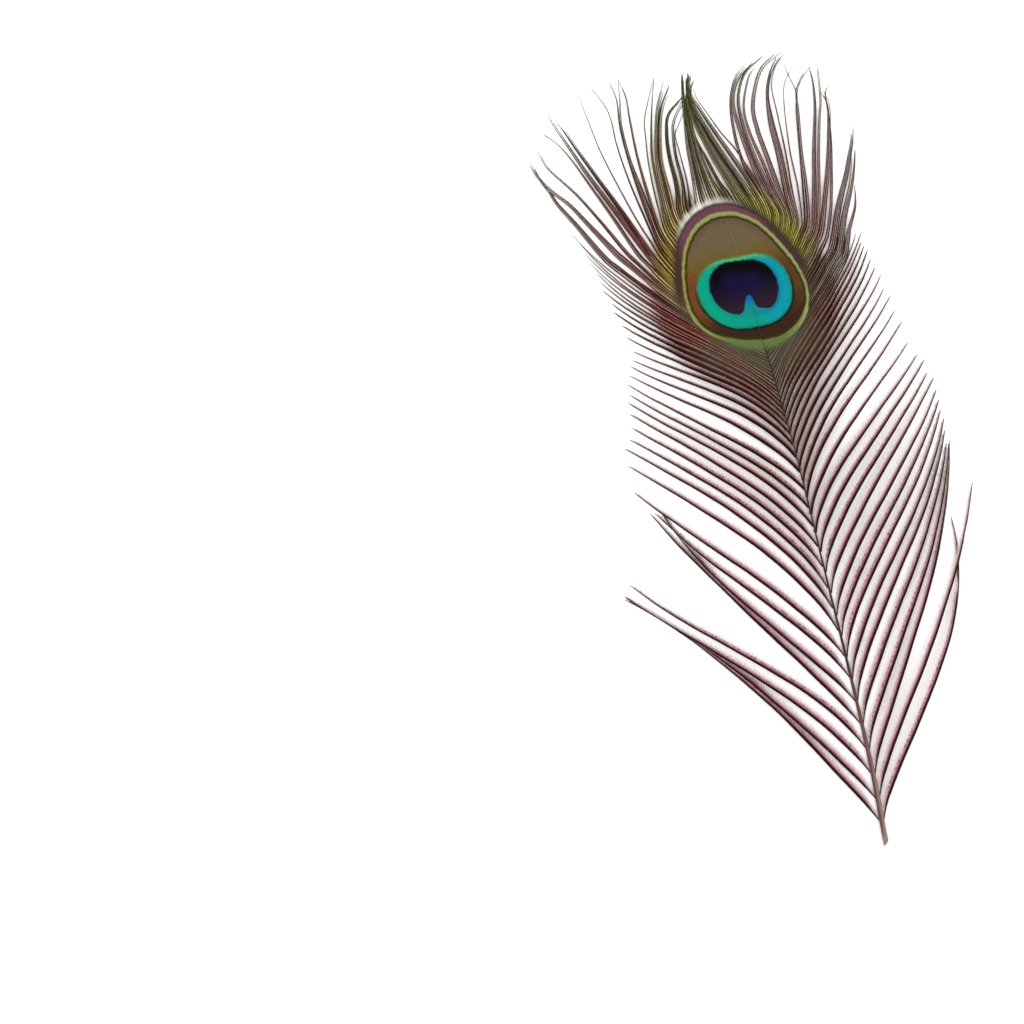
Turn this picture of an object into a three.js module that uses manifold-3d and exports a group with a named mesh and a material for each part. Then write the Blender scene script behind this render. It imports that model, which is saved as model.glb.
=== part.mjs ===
// A peacock's eye feather, lying on a table with its coloured side up.
// Millimetres, +Z up. +Y runs along the shaft from the cut end towards the eye, and the table is z = 0.
// The feather grew as one piece, so the shaft, the web of the eye and the locks of barbs are one solid.
import * as THREE from "three";
import { mergeVertices } from "three/addons/utils/BufferGeometryUtils.js";
import Module from "manifold-3d";

const wasm = await Module();
wasm.setup();

// The shaft: its line seen from above, its half width along its length and how far it lifts off the table.
const shaftPoints = [
  [0, 0], [1.4, 24], [2, 55], [2.1, 90], [2.2, 125], [1.5, 147], [0.6, 166], [0, 181], [-0.3, 189],
];
const shaftRadii = [[0, 0.88], [20, 0.8], [45, 0.52], [75, 0.34], [189, 0.2]];
const shaftSteps = 30;
const flatLength = 34; // the stretch of the shaft that lies flat on the table
const shaftLift = 1.1; // height of the shaft's underside at the eye
const cutDepth = 1.3; // the oblique cut reaches this far back at its long side
const cutSlope = 0.9;

// The barbs: [distance up the shaft, heading at the root, half way and at the tip, length].
// A heading is in degrees from +Y, and positive towards +X. Barbs in between follow their neighbours.
const rightBarbs = [
  [7, 31, 33, -4, 101], [14, 30, 35, 23, 102], [21.5, 28, 30, 12, 110], [35, 27, 34, 18, 97],
  [60, 25, 40, 26, 85], [83, 28, 44, 38, 75], [104, 27, 49, 47, 65], [117, 25, 47, 44, 62],
  [129, 27, 47, 40, 60], [141, 28, 47, 31, 59], [149, 27, 48, 29, 57], [155, 38, 46, 22, 60],
  [160, 50, 43, 16, 66], [166, 60, 41, 16, 72], [175, 70, 28, 3, 78], [181, 72, 21, 6, 82],
  [182.5, 74, 8, 14, 79], [184, 73, -2, 36, 84], [185, 72, -11, 50, 85], [186, 70, -18, 50, 83],
  [187, 64, -25, -4, 79], [188, 40, -14, 0, 70], [189, 8, -9, 8, 64],
];
const leftBarbs = [
  [8, -30, -33, -50, 111], [15, -30, -38, -45, 104], [22, -28, -43, -43, 97], [30, -25, -49, -40, 90],
  [37, -27, -33, -29, 100], [45, -32, -35, -15, 88], [52, -28, -39, -28, 80], [60, -28, -42, -35, 84],
  [68, -20, -41, -44, 86], [80, -20, -42, -47, 83], [96, -24, -44, -45, 74], [118, -33, -50, -43, 64],
  [133, -25, -54, -51, 58], [145, -31, -52, -35, 63], [155, -45, -46, -24, 75], [164, -62, -35, -44, 87],
  [169, -66, -23, -40, 96], [175, -57, -14, -19, 92], [181, -39, -12, 29, 80], [185, -24, -6, 33, 73],
  [189, -5, -6, 21, 66],
];
const looseSpacing = [[0, 7.2], [60, 7], [100, 6.4], [125, 5], [136, 4.2], [158, 4.2]];
const looseEnd = 157;

// The crown: barbs between two distances up the shaft cling together and end in one tip.
// [side, from, to, tip x, tip y, locks, where along the barb they start to close up]
const clumps = [
  [-1, 159, 162, -54, 227, 1, 0.55], [-1, 162, 164.5, -57, 239, 1, 0.5],
  [-1, 164.5, 166, -54.5, 242, 1, 0.5], [-1, 166, 167.5, -51.5, 246, 1, 0.5],
  [-1, 167.5, 171.5, -48, 251.5, 2, 0.45], [-1, 171.5, 173, -37.5, 255.5, 1, 0.5],
  [-1, 173, 174.5, -33, 257.5, 1, 0.5], [-1, 174.5, 177, -24, 258, 1, 0.45],
  [-1, 177, 179, -13, 255.5, 1, 0.45], [-1, 179, 182.5, -9.5, 253, 2, 0.45],
  [-1, 182.5, 190, -3, 254.5, 3, 0.3], [1, 186.6, 190, -1.5, 253.5, 3, 0.4],
  [1, 185.5, 186.6, 21, 253.5, 1, 0.4], [1, 184.6, 185.5, 27, 252, 1, 0.4],
  [1, 183.5, 184.6, 28.5, 253.5, 1, 0.4], [1, 182.7, 183.5, 31.5, 248, 1, 0.4],
  [1, 181.6, 182.7, 33, 247, 1, 0.4], [1, 178.5, 181.6, 37.5, 246, 1, 0.4],
  [1, 172, 178.5, 40, 238, 2, 0.4], [1, 158, 172, 45.5, 224, 3, 0.4],
];
const looseSteps = 7; // stretches along a lock
const crownSteps = 10;
const tipSpread = 2.2; // distance between the tips of one clump's locks

// The web of the eye, where the barbs still hold together.
const eyeOutline = [
  [-1, 212.3], [-8.3, 212.2], [-14.9, 208.2], [-19.8, 201.9], [-22.8, 193.7], [-23.3, 183.9],
  [-20.3, 174.6], [-13.7, 168], [-6.4, 164.5], [2, 163.8], [11, 165.5], [18.3, 172.2],
  [21.3, 180.1], [20.2, 190.2], [16.6, 199.7], [9.5, 208.1],
];
const eyeThickness = 0.7;
const eyeHeight = 1.0; // underside of the web above the table

const webLine = eyeHeight + 0.42; // height of the barbs in the web
const webEdge = 168; // barbs that leave the shaft above this place run under the web first
const webStart = 0.2; // and come out of it as locks from this share of their length on
const looseHalfWidth = 0.85;
const ridgeHeight = 0.5; // of a lock's ridge above its line; its flat underside is half as far below
const archHeight = 2.2; // a loose barb rises this much between its root and its tip
const featherColour = 0x6a5348;

// Straight-line values between the rows of a table whose first column is the place.
function between(table, place, column = 1) {
  if (place <= table[0][0]) return table[0][column];
  for (let i = 1; i < table.length; i++) {
    const [low, high] = [table[i - 1], table[i]];
    if (place <= high[0]) {
      const share = (place - low[0]) / (high[0] - low[0]);
      return low[column] + share * (high[column] - low[column]);
    }
  }
  return table[table.length - 1][column];
}

const shaftCurve = new THREE.CatmullRomCurve3(
  shaftPoints.map(([x, y]) => new THREE.Vector3(x, y, 0)),
  false,
  "catmullrom",
  0.5,
);
const shaftLength = shaftCurve.getLength();

// The middle of the shaft at a distance from the cut end.
function shaftPoint(place) {
  const point = shaftCurve.getPointAt(Math.min(place / shaftLength, 1));
  const rise = THREE.MathUtils.smoothstep(place, flatLength, 160);
  point.z = between(shaftRadii, place) + shaftLift * rise;
  return point;
}

// The heading at share u of a barb, through its values at the root, half way and at the tip.
function headingAt(u, root, middle, tip) {
  const degrees = root * 2 * (u - 0.5) * (u - 1) + middle * 4 * u * (1 - u) + tip * 2 * u * (u - 0.5);
  return THREE.MathUtils.degToRad(degrees);
}

// The points of one barb, from inside the shaft to its tip on the table.
// With a goal, the outer stretch leans towards it from share start on.
function barbLine(side, place, steps, goal, start) {
  const table = side > 0 ? rightBarbs : leftBarbs;
  const [root, middle, tip, length] = [1, 2, 3, 4].map((column) => between(table, place, column));
  const fine = 8;
  const step = length / (steps * fine);
  const point = shaftPoint(place);
  const webShare = THREE.MathUtils.smoothstep(place, 135, 160); // 1 for the barbs of the eye's web
  const rootHeight = THREE.MathUtils.lerp(point.z, webLine, webShare);
  const arch = archHeight * (0.7 + 0.3 * Math.sin(1.7 * place)) * (1 - 0.85 * webShare);
  const line = [point.clone()];
  for (let i = 0; i < steps * fine; i++) {
    const heading = headingAt((i + 0.5) / (steps * fine), root, middle, tip);
    point.x += Math.sin(heading) * step;
    point.y += Math.cos(heading) * step;
    if ((i + 1) % fine === 0) line.push(point.clone());
  }
  const end = line[steps].clone();
  line.forEach((at, i) => {
    const u = i / steps;
    if (goal) {
      const lean = Math.max(0, (u - start) / (1 - start)) ** 1.6;
      at.x += lean * (goal[0] - end.x);
      at.y += lean * (goal[1] - end.y);
    }
    at.z = THREE.MathUtils.lerp(rootHeight, ridgeHeight / 4, u) + arch * Math.sin(Math.PI * u);
  });
  return line;
}

// A closed geometry as a solid that can be joined.
function solidOf(geometry) {
  geometry.deleteAttribute("normal");
  geometry.deleteAttribute("uv");
  const merged = mergeVertices(geometry, 1e-4);
  return new wasm.Manifold(
    new wasm.Mesh({
      numProp: 3,
      vertProperties: merged.attributes.position.array,
      triVerts: new Uint32Array(merged.index.array),
    }),
  );
}

// A lock of barbs: a ridge of three sides, flat side down, bent along a line.
function makeLock(line, halfWidthAt, ridgeAt) {
  const steps = line.length - 1;
  const shape = new THREE.CylinderGeometry(1, 1, steps, 3, steps);
  const position = shape.attributes.position;
  for (let i = 0; i < position.count; i++) {
    const row = Math.round(position.getY(i) + steps / 2);
    const before = line[Math.max(row - 1, 0)];
    const after = line[Math.min(row + 1, steps)];
    const heading = Math.atan2(after.x - before.x, after.y - before.y);
    const across = position.getX(i) * halfWidthAt(row / steps);
    position.setXYZ(
      i,
      line[row].x + Math.cos(heading) * across,
      line[row].y - Math.sin(heading) * across,
      line[row].z + position.getZ(i) * ridgeAt(row / steps),
    );
  }
  return solidOf(shape);
}

// The shaft, with eight sides and a flat underside, cut off obliquely at the base.
function makeShaft() {
  const line = [];
  for (let i = 0; i <= shaftSteps; i++) line.push(shaftPoint((shaftLength * i) / shaftSteps));
  const reach = 1 / Math.cos(Math.PI / 8); // makes the flats, not the corners, the stated half width
  const radiusAt = (u) => between(shaftRadii, u * shaftLength) * reach;
  const shape = new THREE.CylinderGeometry(1, 1, shaftSteps, 8, shaftSteps, false, Math.PI / 8);
  const position = shape.attributes.position;
  for (let i = 0; i < position.count; i++) {
    const row = Math.round(position.getY(i) + shaftSteps / 2);
    const radius = radiusAt(row / shaftSteps);
    const across = position.getX(i) * radius;
    const atCut = row === 0 ? cutSlope * across - (cutDepth - cutSlope * radius) : 0;
    position.setXYZ(i, line[row].x + across, line[row].y + atCut, line[row].z + position.getZ(i) * radius);
  }
  return solidOf(shape);
}

// The web of the eye: a thin plate with rounded edges.
function makeEye() {
  const outline = new THREE.Shape();
  const points = eyeOutline.map(([x, y]) => new THREE.Vector2(x, y));
  outline.moveTo(points[0].x, points[0].y);
  outline.splineThru([...points.slice(1), points[0]]);
  const plate = new THREE.ExtrudeGeometry(outline, {
    depth: eyeThickness / 2,
    bevelThickness: eyeThickness / 4,
    bevelSize: 1,
    bevelOffset: -1,
    bevelSegments: 1,
    curveSegments: 3,
  });
  plate.translate(0, 0, eyeHeight + eyeThickness / 4);
  return solidOf(plate);
}

// Each loose barb of the lower feather, and further up a lock for every two barbs.
function makeLooseBarbs(side, first) {
  const barbs = [];
  for (let place = first; place < looseEnd; place += between(looseSpacing, place)) {
    const halfWidth = looseHalfWidth + 0.8 * THREE.MathUtils.smoothstep(place, 130, 145);
    barbs.push(
      makeLock(
        barbLine(side, place, looseSteps),
        (u) => halfWidth * Math.min(1, 0.5 + 4 * u) * (1 - 0.75 * u ** 3),
        (u) => ridgeHeight * (1 - 0.5 * u ** 2),
      ),
    );
  }
  return barbs;
}

// The locks of one clump, each as wide as its share of the fan where the barbs leave the eye.
function makeClump([side, from, to, tipX, tipY, locks, start]) {
  const edges = [from, Math.min(to, 189)].map((place) => barbLine(side, place, crownSteps)[4]);
  const halfWidth = Math.max((edges[0].distanceTo(edges[1]) / locks) * 0.55, 0.6);
  return Array.from({ length: locks }, (_, i) => {
    const place = from + ((i + 0.5) / locks) * (to - from);
    const goal = [tipX - side * (i - (locks - 1) / 2) * tipSpread, tipY];
    const line = barbLine(side, Math.min(place, 189), crownSteps, goal, start);
    const hidden = place > webEdge ? Math.floor(webStart * crownSteps) : 0;
    return makeLock(
      line.slice(hidden),
      (u) => halfWidth * (1 - 0.8 * u ** 1.5),
      (u) => ridgeHeight * (1 - 0.5 * u ** 2),
    );
  });
}

const solids = [
  makeShaft(),
  makeEye(),
  ...makeLooseBarbs(1, 7),
  ...makeLooseBarbs(-1, 8),
  ...clumps.flatMap(makeClump),
];
const joined = solids.reduce((whole, solid) => whole.add(solid)).getMesh();

const featherGeometry = new THREE.BufferGeometry();
featherGeometry.setAttribute("position", new THREE.BufferAttribute(joined.vertProperties, 3));
featherGeometry.setIndex(new THREE.BufferAttribute(joined.triVerts, 1));
featherGeometry.computeVertexNormals();
const feather = new THREE.Mesh(
  featherGeometry,
  new THREE.MeshStandardMaterial({ color: featherColour, roughness: 0.5, metalness: 0 }),
);
feather.name = "feather";

const peacockFeather = new THREE.Group();
peacockFeather.add(feather);

export default peacockFeather;
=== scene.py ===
# A peacock's eye feather lying on a pale table, coloured side up.
import math
import random

import bpy
import numpy as np
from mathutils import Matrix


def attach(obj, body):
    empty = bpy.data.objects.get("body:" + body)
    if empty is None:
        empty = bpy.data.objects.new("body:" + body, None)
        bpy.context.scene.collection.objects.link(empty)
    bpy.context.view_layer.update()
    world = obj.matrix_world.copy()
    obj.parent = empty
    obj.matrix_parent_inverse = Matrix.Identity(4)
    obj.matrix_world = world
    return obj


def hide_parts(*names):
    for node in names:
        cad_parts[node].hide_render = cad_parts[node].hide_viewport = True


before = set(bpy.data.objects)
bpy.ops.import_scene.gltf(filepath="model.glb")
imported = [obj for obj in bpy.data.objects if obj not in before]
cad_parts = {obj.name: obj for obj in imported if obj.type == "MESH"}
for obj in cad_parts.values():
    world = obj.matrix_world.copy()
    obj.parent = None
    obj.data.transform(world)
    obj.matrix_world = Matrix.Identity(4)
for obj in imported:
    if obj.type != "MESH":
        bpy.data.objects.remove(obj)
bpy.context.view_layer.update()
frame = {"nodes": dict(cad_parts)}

bpy.ops.object.select_all(action="DESELECT")
print("frame loaded:", ", ".join(frame["nodes"]))

mm = 0.001  # everything below is planned in millimetres and made in metres


# Camera, light and table

view = {
    "middle": (-90.5, 131.5),  # the spot of the table in the middle of the picture
    "width": 327.7,  # how much of the table the picture spans
    "height": 1.4,  # the level of the barbs, where that width holds
    "lens": 85,
    "roll": 14.04,  # degrees that the shaft leans to the left
    "nearest": 10,  # mm in front of the lens from where things show
}
light = {
    "worldStrength": 1.12,
    "lamps": {  # place, size, power
        "key": ((-420, 520, 620), 520, 1.89),
        "fill": ((420, -160, 640), 700, 1.53),
    },
    "aim": (0, 130, 0),
    "tableWidth": 6000,
    "tableColour": (0.97, 0.97, 0.97, 1),
    "tableRoughness": 0.9,
    "tableShine": 0.1,
    "onFeather": 1.5,  # light that falls on the feather, which the painted colours allow for
}


def makeCamera():
    bpy.ops.object.camera_add()
    camera = bpy.context.object
    camera.name = "camera"
    camera.data.lens = view["lens"]
    distance = view["width"] * view["lens"] / camera.data.sensor_width
    x, y = view["middle"]
    camera.location = (x * mm, y * mm, (view["height"] + distance) * mm)
    camera.rotation_euler = (0, 0, -math.radians(view["roll"]))
    camera.data.clip_start = view["nearest"] * mm
    bpy.context.scene.camera = camera


def makeLamp(name, place, size, power):
    bpy.ops.object.light_add(type="AREA")
    lamp = bpy.context.object
    lamp.name = name
    lamp.location = [value * mm for value in place]
    x, y, z = np.array(light["aim"]) - np.array(place)
    lamp.rotation_euler = (math.atan2(math.hypot(x, y), -z), 0, math.atan2(y, x) - math.pi / 2)
    lamp.data.shape = "DISK"
    lamp.data.size = size * mm
    lamp.data.energy = power


def makeStudio():
    world = bpy.data.worlds.new("studio")
    bpy.context.scene.world = world
    world.use_nodes = True
    world.node_tree.nodes["Background"].inputs["Color"].default_value = (1, 1, 1, 1)
    world.node_tree.nodes["Background"].inputs["Strength"].default_value = light["worldStrength"]
    for name, (place, size, power) in light["lamps"].items():
        makeLamp(name, place, size, power)
    bpy.ops.mesh.primitive_plane_add(size=light["tableWidth"] * mm)
    table = bpy.context.object
    table.name = "table"
    paper = bpy.data.materials.new("paleTable")
    paper.use_nodes = True
    shader = paper.node_tree.nodes["Principled BSDF"]
    shader.inputs["Base Color"].default_value = light["tableColour"]
    shader.inputs["Roughness"].default_value = light["tableRoughness"]
    shader.inputs["Specular IOR Level"].default_value = light["tableShine"]
    table.data.materials.append(paper)
    bpy.context.scene.view_settings.view_transform = "Standard"


makeCamera()
makeStudio()
print("camera, lamps and table made")


# The plan of the feather: the solid's shaft and guide barbs, and locks that are finer than the solid's.
# A place is a distance up the shaft, side 1 is the right one, and a heading is in degrees from upright.

shaftPlan = {
    "points": [
        (0, 0), (1.4, 24), (2, 55), (2.1, 90), (2.2, 125), (1.5, 147), (0.6, 166), (0, 181), (-0.3, 189),
    ],
    "fine": 40,  # steps from each point to the next
    "end": 189,
    "radii": [(0, 0.88), (20, 0.8), (45, 0.52), (75, 0.34), (110, 0.27), (150, 0.2), (189, 0.1)],
    "lift": 1.1,
    "liftPlaces": (34, 160),  # it lies flat below the first and is lifted above the second
    "sides": 16,
    "start": -3,  # the first ring, behind the slanted cut
    "step": 4.5,  # mm between rings
}
# One row for each guide barb: place, heading at the root, half way and at the tip, length
barbPlan = {
    1: [
        (7, 31, 33, -4, 101), (14, 30, 35, 23, 102), (21.5, 28, 30, 12, 110), (35, 27, 34, 18, 97),
        (60, 25, 40, 26, 85), (83, 28, 44, 38, 75), (104, 27, 49, 47, 65), (117, 25, 47, 44, 62),
        (129, 27, 47, 40, 60), (141, 28, 47, 31, 59), (149, 27, 48, 29, 57), (155, 38, 46, 22, 60),
        (160, 50, 43, 16, 66), (166, 60, 41, 16, 72), (175, 70, 28, 3, 78), (181, 72, 21, 6, 82),
        (182.5, 74, 8, 14, 79), (184, 73, -2, 36, 84), (185, 72, -11, 50, 85), (186, 70, -18, 50, 83),
        (187, 64, -25, -4, 79), (188, 40, -14, 0, 70), (189, 8, -9, 8, 64),
    ],
    -1: [
        (8, -30, -33, -50, 111), (15, -30, -38, -45, 104), (22, -28, -43, -43, 97), (30, -25, -49, -40, 90),
        (37, -27, -33, -29, 100), (45, -32, -35, -15, 88), (52, -28, -39, -28, 80), (60, -28, -42, -35, 84),
        (68, -20, -41, -44, 86), (80, -20, -42, -47, 83), (96, -24, -44, -45, 74), (118, -33, -50, -43, 64),
        (133, -25, -54, -51, 58), (145, -31, -52, -35, 63), (155, -45, -46, -24, 75),
        (164, -62, -35, -44, 87), (169, -66, -23, -40, 96), (175, -57, -14, -19, 92),
        (181, -39, -12, 29, 80), (185, -24, -6, 33, 73), (189, -5, -6, 21, 66),
    ],
}
# Places where the wide-set barbs start, then the distance from one barb to the next
rootPlan = {
    1: [7.8, 15.4, 22.8, 31, 39.7, 47.4, 54.5, 61.9, 68.8, 75.6, 83],
    -1: [7, 14.4, 22.6, 31, 39.2, 46.6, 54.5, 61.4, 69.8, 77.2, 84],
}
spacingPlan = {
    1: [(84, 7), (100, 6.2), (118, 4.8), (124, 4.1), (131, 3.5), (140, 2.5), (150, 1.6)],
    -1: [(84, 7), (100, 6.5), (118, 5.6), (126, 4.2), (135, 3), (147, 1.8), (156, 1.3)],
}
crownFrom = {1: 150, -1: 156.5}  # above these places the barbs run to the eye and its crown
# Locks of the crown, in order over the eye: place, number of barbs, then their way from the eye to the tips
lockPlan = {}
lockPlan[-1] = [
    (158.25, 3, (-42, 203), (-48.5, 216), (-52.5, 223.5), (-54, 228), (-56, 232.5), (-57.5, 239.5)),
    (162.75, 3, (-38, 203.5), (-44, 214), (-48.5, 222), (-53.5, 228.5), (-56.5, 234), (-57.5, 238)),
    (164.5, 2, (-35, 203.5), (-40.5, 215), (-46, 225.5), (-52, 234.5), (-53.5, 238.5), (-54, 242)),
    (166.25, 2, (-31.5, 202), (-36.5, 215.5), (-41, 227), (-45, 237), (-48, 242.5), (-51.5, 246.5)),
    (168.25, 3, (-29, 202.5), (-35, 216.5), (-41, 231), (-45, 242), (-47.5, 249), (-48, 252.5)),
    (168.75, 3, (-27.5, 201), (-33, 216), (-38, 228.5), (-42.5, 240), (-45, 247), (-46.5, 250)),
    (170.75, 1, (-25, 201), (-28.5, 210.5), (-32, 223.5), (-35, 236.5), (-36.5, 247.5), (-37.5, 255.5)),
    (171.5, 1, (-24.5, 202), (-26.5, 212.5), (-28.5, 225.5), (-29.5, 237.5), (-29.5, 248), (-33, 257.5)),
    (172.5, 2, (-24, 205.5), (-26, 220), (-27, 234.5), (-27, 243.5), (-26, 251.5), (-27, 257.5)),
    (173, 2, (-23.5, 206), (-25, 219), (-26.5, 231.5), (-26.5, 243), (-25, 251), (-24, 257.7)),
    (174.25, 2, (-22.5, 207), (-23.5, 217.5), (-24, 231.5), (-23.5, 244), (-23, 251.5), (-24, 257.5)),
    (175.75, 1, (-21, 207.5), (-21.5, 218), (-21, 229.5), (-20, 237), (-19, 243), (-16, 249.5),
     (-13.5, 254.5)),
    (177.25, 2, (-20, 208.5), (-20, 219), (-19.5, 230), (-18, 237.5), (-15.5, 246.5), (-12.5, 255.5)),
    (179, 3, (-18, 209.5), (-18.5, 219.5), (-18, 230), (-16, 239), (-13.5, 246.5), (-9.5, 253.5)),
    (180.5, 3, (-17, 211), (-17, 219.5), (-17, 229), (-15, 238.5), (-12.5, 245.5), (-8, 252)),
    (181.75, 3, (-15, 211.5), (-14, 220.5), (-14, 230), (-13, 237.5), (-11, 243), (-5, 247.5)),
    (183, 2, (-13, 212.5), (-12, 220.5), (-12, 229.5), (-11, 237), (-9.5, 241), (-5, 246.5)),
    (184.25, 1, (-11, 213), (-10.5, 221.5), (-10.5, 230.5), (-10.5, 236), (-8.5, 239), (-6, 242.5)),
    (185.75, 3, (-8.5, 214), (-8, 222), (-7.5, 231.5), (-6.5, 239), (-5.5, 246), (-3.5, 255)),
    (187.5, 3, (-6, 214), (-6.5, 221.5), (-6.5, 230.5), (-6, 239), (-5, 246), (-3.5, 254)),
    (189, 3, (-3.5, 213.5), (-4.5, 220), (-5, 229), (-5, 238), (-4.5, 245), (-3, 249.5), (-1.5, 254.5)),
]
lockPlan[1] = [
    (189, 2, (-1, 212.5), (-2.5, 218.5), (-4, 226.5), (-4.5, 235.5), (-4.5, 243), (-3, 249), (-1.5, 253.5)),
    (188.75, 2, (1.5, 211), (-0.5, 217.5), (-2.5, 225.5), (-4.5, 233.5), (-4.5, 241), (-3, 247),
     (-1, 251.5)),
    (188.25, 2, (4, 210), (1.5, 218.5), (-1, 227), (-3, 235.5), (-4, 243), (-3, 249), (-1, 253)),
    (188, 4, (6.5, 208.5), (3.5, 216.5), (0.5, 226), (-2, 235), (-3, 243), (-3, 249.5), (-2, 254)),
    (187.25, 4, (9, 207), (6.5, 215.5), (3, 225), (0, 234), (-2.5, 242.5), (-3, 248.5), (-1.5, 253.5)),
    (186, 3, (11.5, 206.5), (9, 215.5), (5.5, 225), (2, 234), (-1, 242.5), (-2.5, 248), (-0.5, 252)),
    (185, 1, (13, 206), (11, 215.5), (7.5, 226), (4, 233), (1, 240.5), (-1, 245.5), (-1.5, 249)),
    (184.75, 2, (14, 205), (11, 213.5), (8.5, 222), (8, 231), (9, 241), (12, 248.5), (16.5, 253)),
    (184.25, 3, (15.5, 204), (12.5, 213), (11, 223), (10, 233), (10, 241.5), (13, 248), (19, 253)),
    (183.5, 3, (16.5, 203), (14.5, 212.5), (12.5, 222.5), (11.5, 232.5), (12, 242), (16, 249.5),
     (23, 253.5)),
    (183, 2, (17.5, 202), (16, 211), (14.5, 221.5), (13, 230.5), (13, 239), (16.5, 247.5), (19.5, 251)),
    (182.5, 3, (18.5, 200.5), (17.5, 210), (16.5, 221), (15.5, 231), (16, 239.5), (21, 249.5), (28.5, 254)),
    (181.75, 3, (19.5, 199.5), (19.5, 209.5), (20, 221.5), (20, 232.5), (21.5, 242), (24, 248),
     (27.5, 252.5)),
    (181.5, 2, (20.5, 199.5), (20.5, 210), (21, 221.5), (21, 233), (21.5, 241), (24, 247.5), (28.5, 252)),
    (181.25, 1, (21, 199), (21.5, 209.5), (22.5, 222), (23, 234), (23.5, 244), (27, 250.5), (30, 252.5)),
    (180.5, 1, (22, 199), (23.5, 210), (24, 222), (25.5, 234.5), (27.5, 243), (32, 248.5)),
    (179.75, 1, (23, 199), (25, 209), (27, 221.5), (29, 234), (30.5, 240), (29.5, 245.5), (29, 249.5)),
    (178.25, 2, (24, 198.5), (26, 208.5), (27.5, 221.5), (29.5, 233.5), (30.5, 240),
     (33.5, 244.5), (36.5, 247)),
    (176, 3, (25.5, 197), (28.5, 208), (31.5, 220.5), (35, 233), (36.5, 241.5), (36.5, 247)),
    (174.25, 2, (26.5, 196), (29.5, 206), (32.5, 218.5), (35.5, 229.5), (37.5, 236), (39, 246.5)),
    (172, 3, (27.5, 195), (32, 207), (35.5, 217.5), (38.5, 228.5), (39.5, 234), (38.5, 238.5)),
    (168.75, 2, (29, 193), (32.5, 202), (35, 211.5), (37.5, 222), (39, 231.5), (39.5, 237), (41, 239.5)),
    (164.5, 4, (30, 189.5), (34.5, 200.5), (39.5, 210), (42, 215.5), (44, 220), (45.5, 225)),
    (157, 4, (32, 188), (35.5, 197), (39.5, 205), (42, 211), (44, 217.5)),
    (152, 3, (33, 185.5), (36.5, 193.5), (40, 200), (41.5, 206.5)),
]
lockShape = {
    "startHalf": 0.34,  # half width of a lock where it leaves the eye, for each of its barbs
    "tipHalf": 0.12,
    "tighten": 0.6,  # below 1 a lock draws together soon after it leaves the eye
    "shorten": 0.04,  # barbs of a lock end up to this share earlier
    "wander": 0.35,  # mm that the tips stray
    "tipRise": (-0.1, 0.12),
    "soonest": 4,  # a barb keeps to its own way for at least so many steps
    "keepEach": 3,  # every third of these steps guides the smooth line into the lock
    "fine": 12,
}
barbShape = {
    "seed": 7,
    "steps": 48,
    "arch": 2.2,  # a loose barb rises this much on its way to the table
    "archVaries": 0.3,  # share by which the arches of loose barbs differ
    "archShift": 1.7,
    "archLost": 0.85,  # share of the arch that is missing in the web
    "webPlaces": (135, 160),  # barbs turn from loose ones to those of the web between these places
    "webLine": 1.5,  # height of the barbs in the web of the eye
    "rootSweep": {1: 1.3, -1: 0.4},  # mm that a loose barb runs along the shaft before it leaves it
    "sweepShares": (1, 0.44, 0.11),  # share of the sweep at a barb's first points
    "sweepPlaces": (110, 150),  # the sweep gets lost between these places
    "wanderTurns": 2.2,
    "kinks": ((0.7, 17, 3), (0.6, 39, 7)),  # small waves: degrees, how close, shift from barb to barb
    "tipHeight": 0.14,
    "spacing": (0.97, 1.03),
    "stretch": (0.98, 1.02),
    "wander": (-1.2, 1.2),
    "tipRise": (-0.12, 0.12),
}
# Outlines of the eye: centre, mean radius, then how far the cos and sin of the angle, of twice it,
# of three and of four times it push the outline out
eyePlan = {
    "ring": ((-1.1, 184.9), 20.67, (-0.08, 0.19), (-1.59, -1.66), (-0.07, -1.05), (-0.04, 0.32)),
    "inner": ((-1.1, 185.2), 19.29, (-0.12, -0.01), (-1.23, -1.6), (-0.06, -1.19), (-0.17, 0.21)),
    "turquoise": ((-1.0, 181.8), 13.47, (0.13, 0.13), (1.63, -0.69), (-0.03, 0.32), (-0.33, -0.15)),
    "heart": ((-1.0, 183.2), 10.12, (0.06, 0.09), (0.95, -0.72), (-0.05, 0.12), (-0.28, -0.02)),
}


def between(rows, place, column=1):
    rows = np.array(rows, float)
    return np.interp(place, rows[:, 0], rows[:, column])


def blend(first, second, share):
    return first + (second - first) * share


def smooth(value, low, high):
    share = np.clip((np.asarray(value, float) - low) / (high - low), 0, 1)
    return share * share * (3 - 2 * share)


# A smooth line through points, with a number of fine steps from each to the next
def lineThrough(points, fine):
    points = np.array(points, float)
    points = np.vstack([2 * points[0] - points[1], points, 2 * points[-1] - points[-2]])
    t = np.linspace(0, 1, fine, endpoint=False)[:, None]
    line = []
    for a, b, c, d in zip(points, points[1:], points[2:], points[3:]):
        bend = (2 * a - 5 * b + 4 * c - d) * t**2 + (3 * b - a - 3 * c + d) * t**3
        line.append(0.5 * (2 * b + (c - a) * t + bend))
    return np.vstack([*line, points[-2:-1]])


def distancesAlong(line):
    return np.concatenate([[0], np.cumsum(np.linalg.norm(np.diff(line, axis=0), axis=1))])


shaftLine = lineThrough(shaftPlan["points"], shaftPlan["fine"])
shaftPlaces = distancesAlong(shaftLine)


def shaftAt(place):
    x = np.interp(place, shaftPlaces, shaftLine[:, 0])
    y = np.interp(place, shaftPlaces, shaftLine[:, 1])
    lift = shaftPlan["lift"] * smooth(place, *shaftPlan["liftPlaces"])
    return np.array([x, y, between(shaftPlan["radii"], place) + lift])


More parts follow.
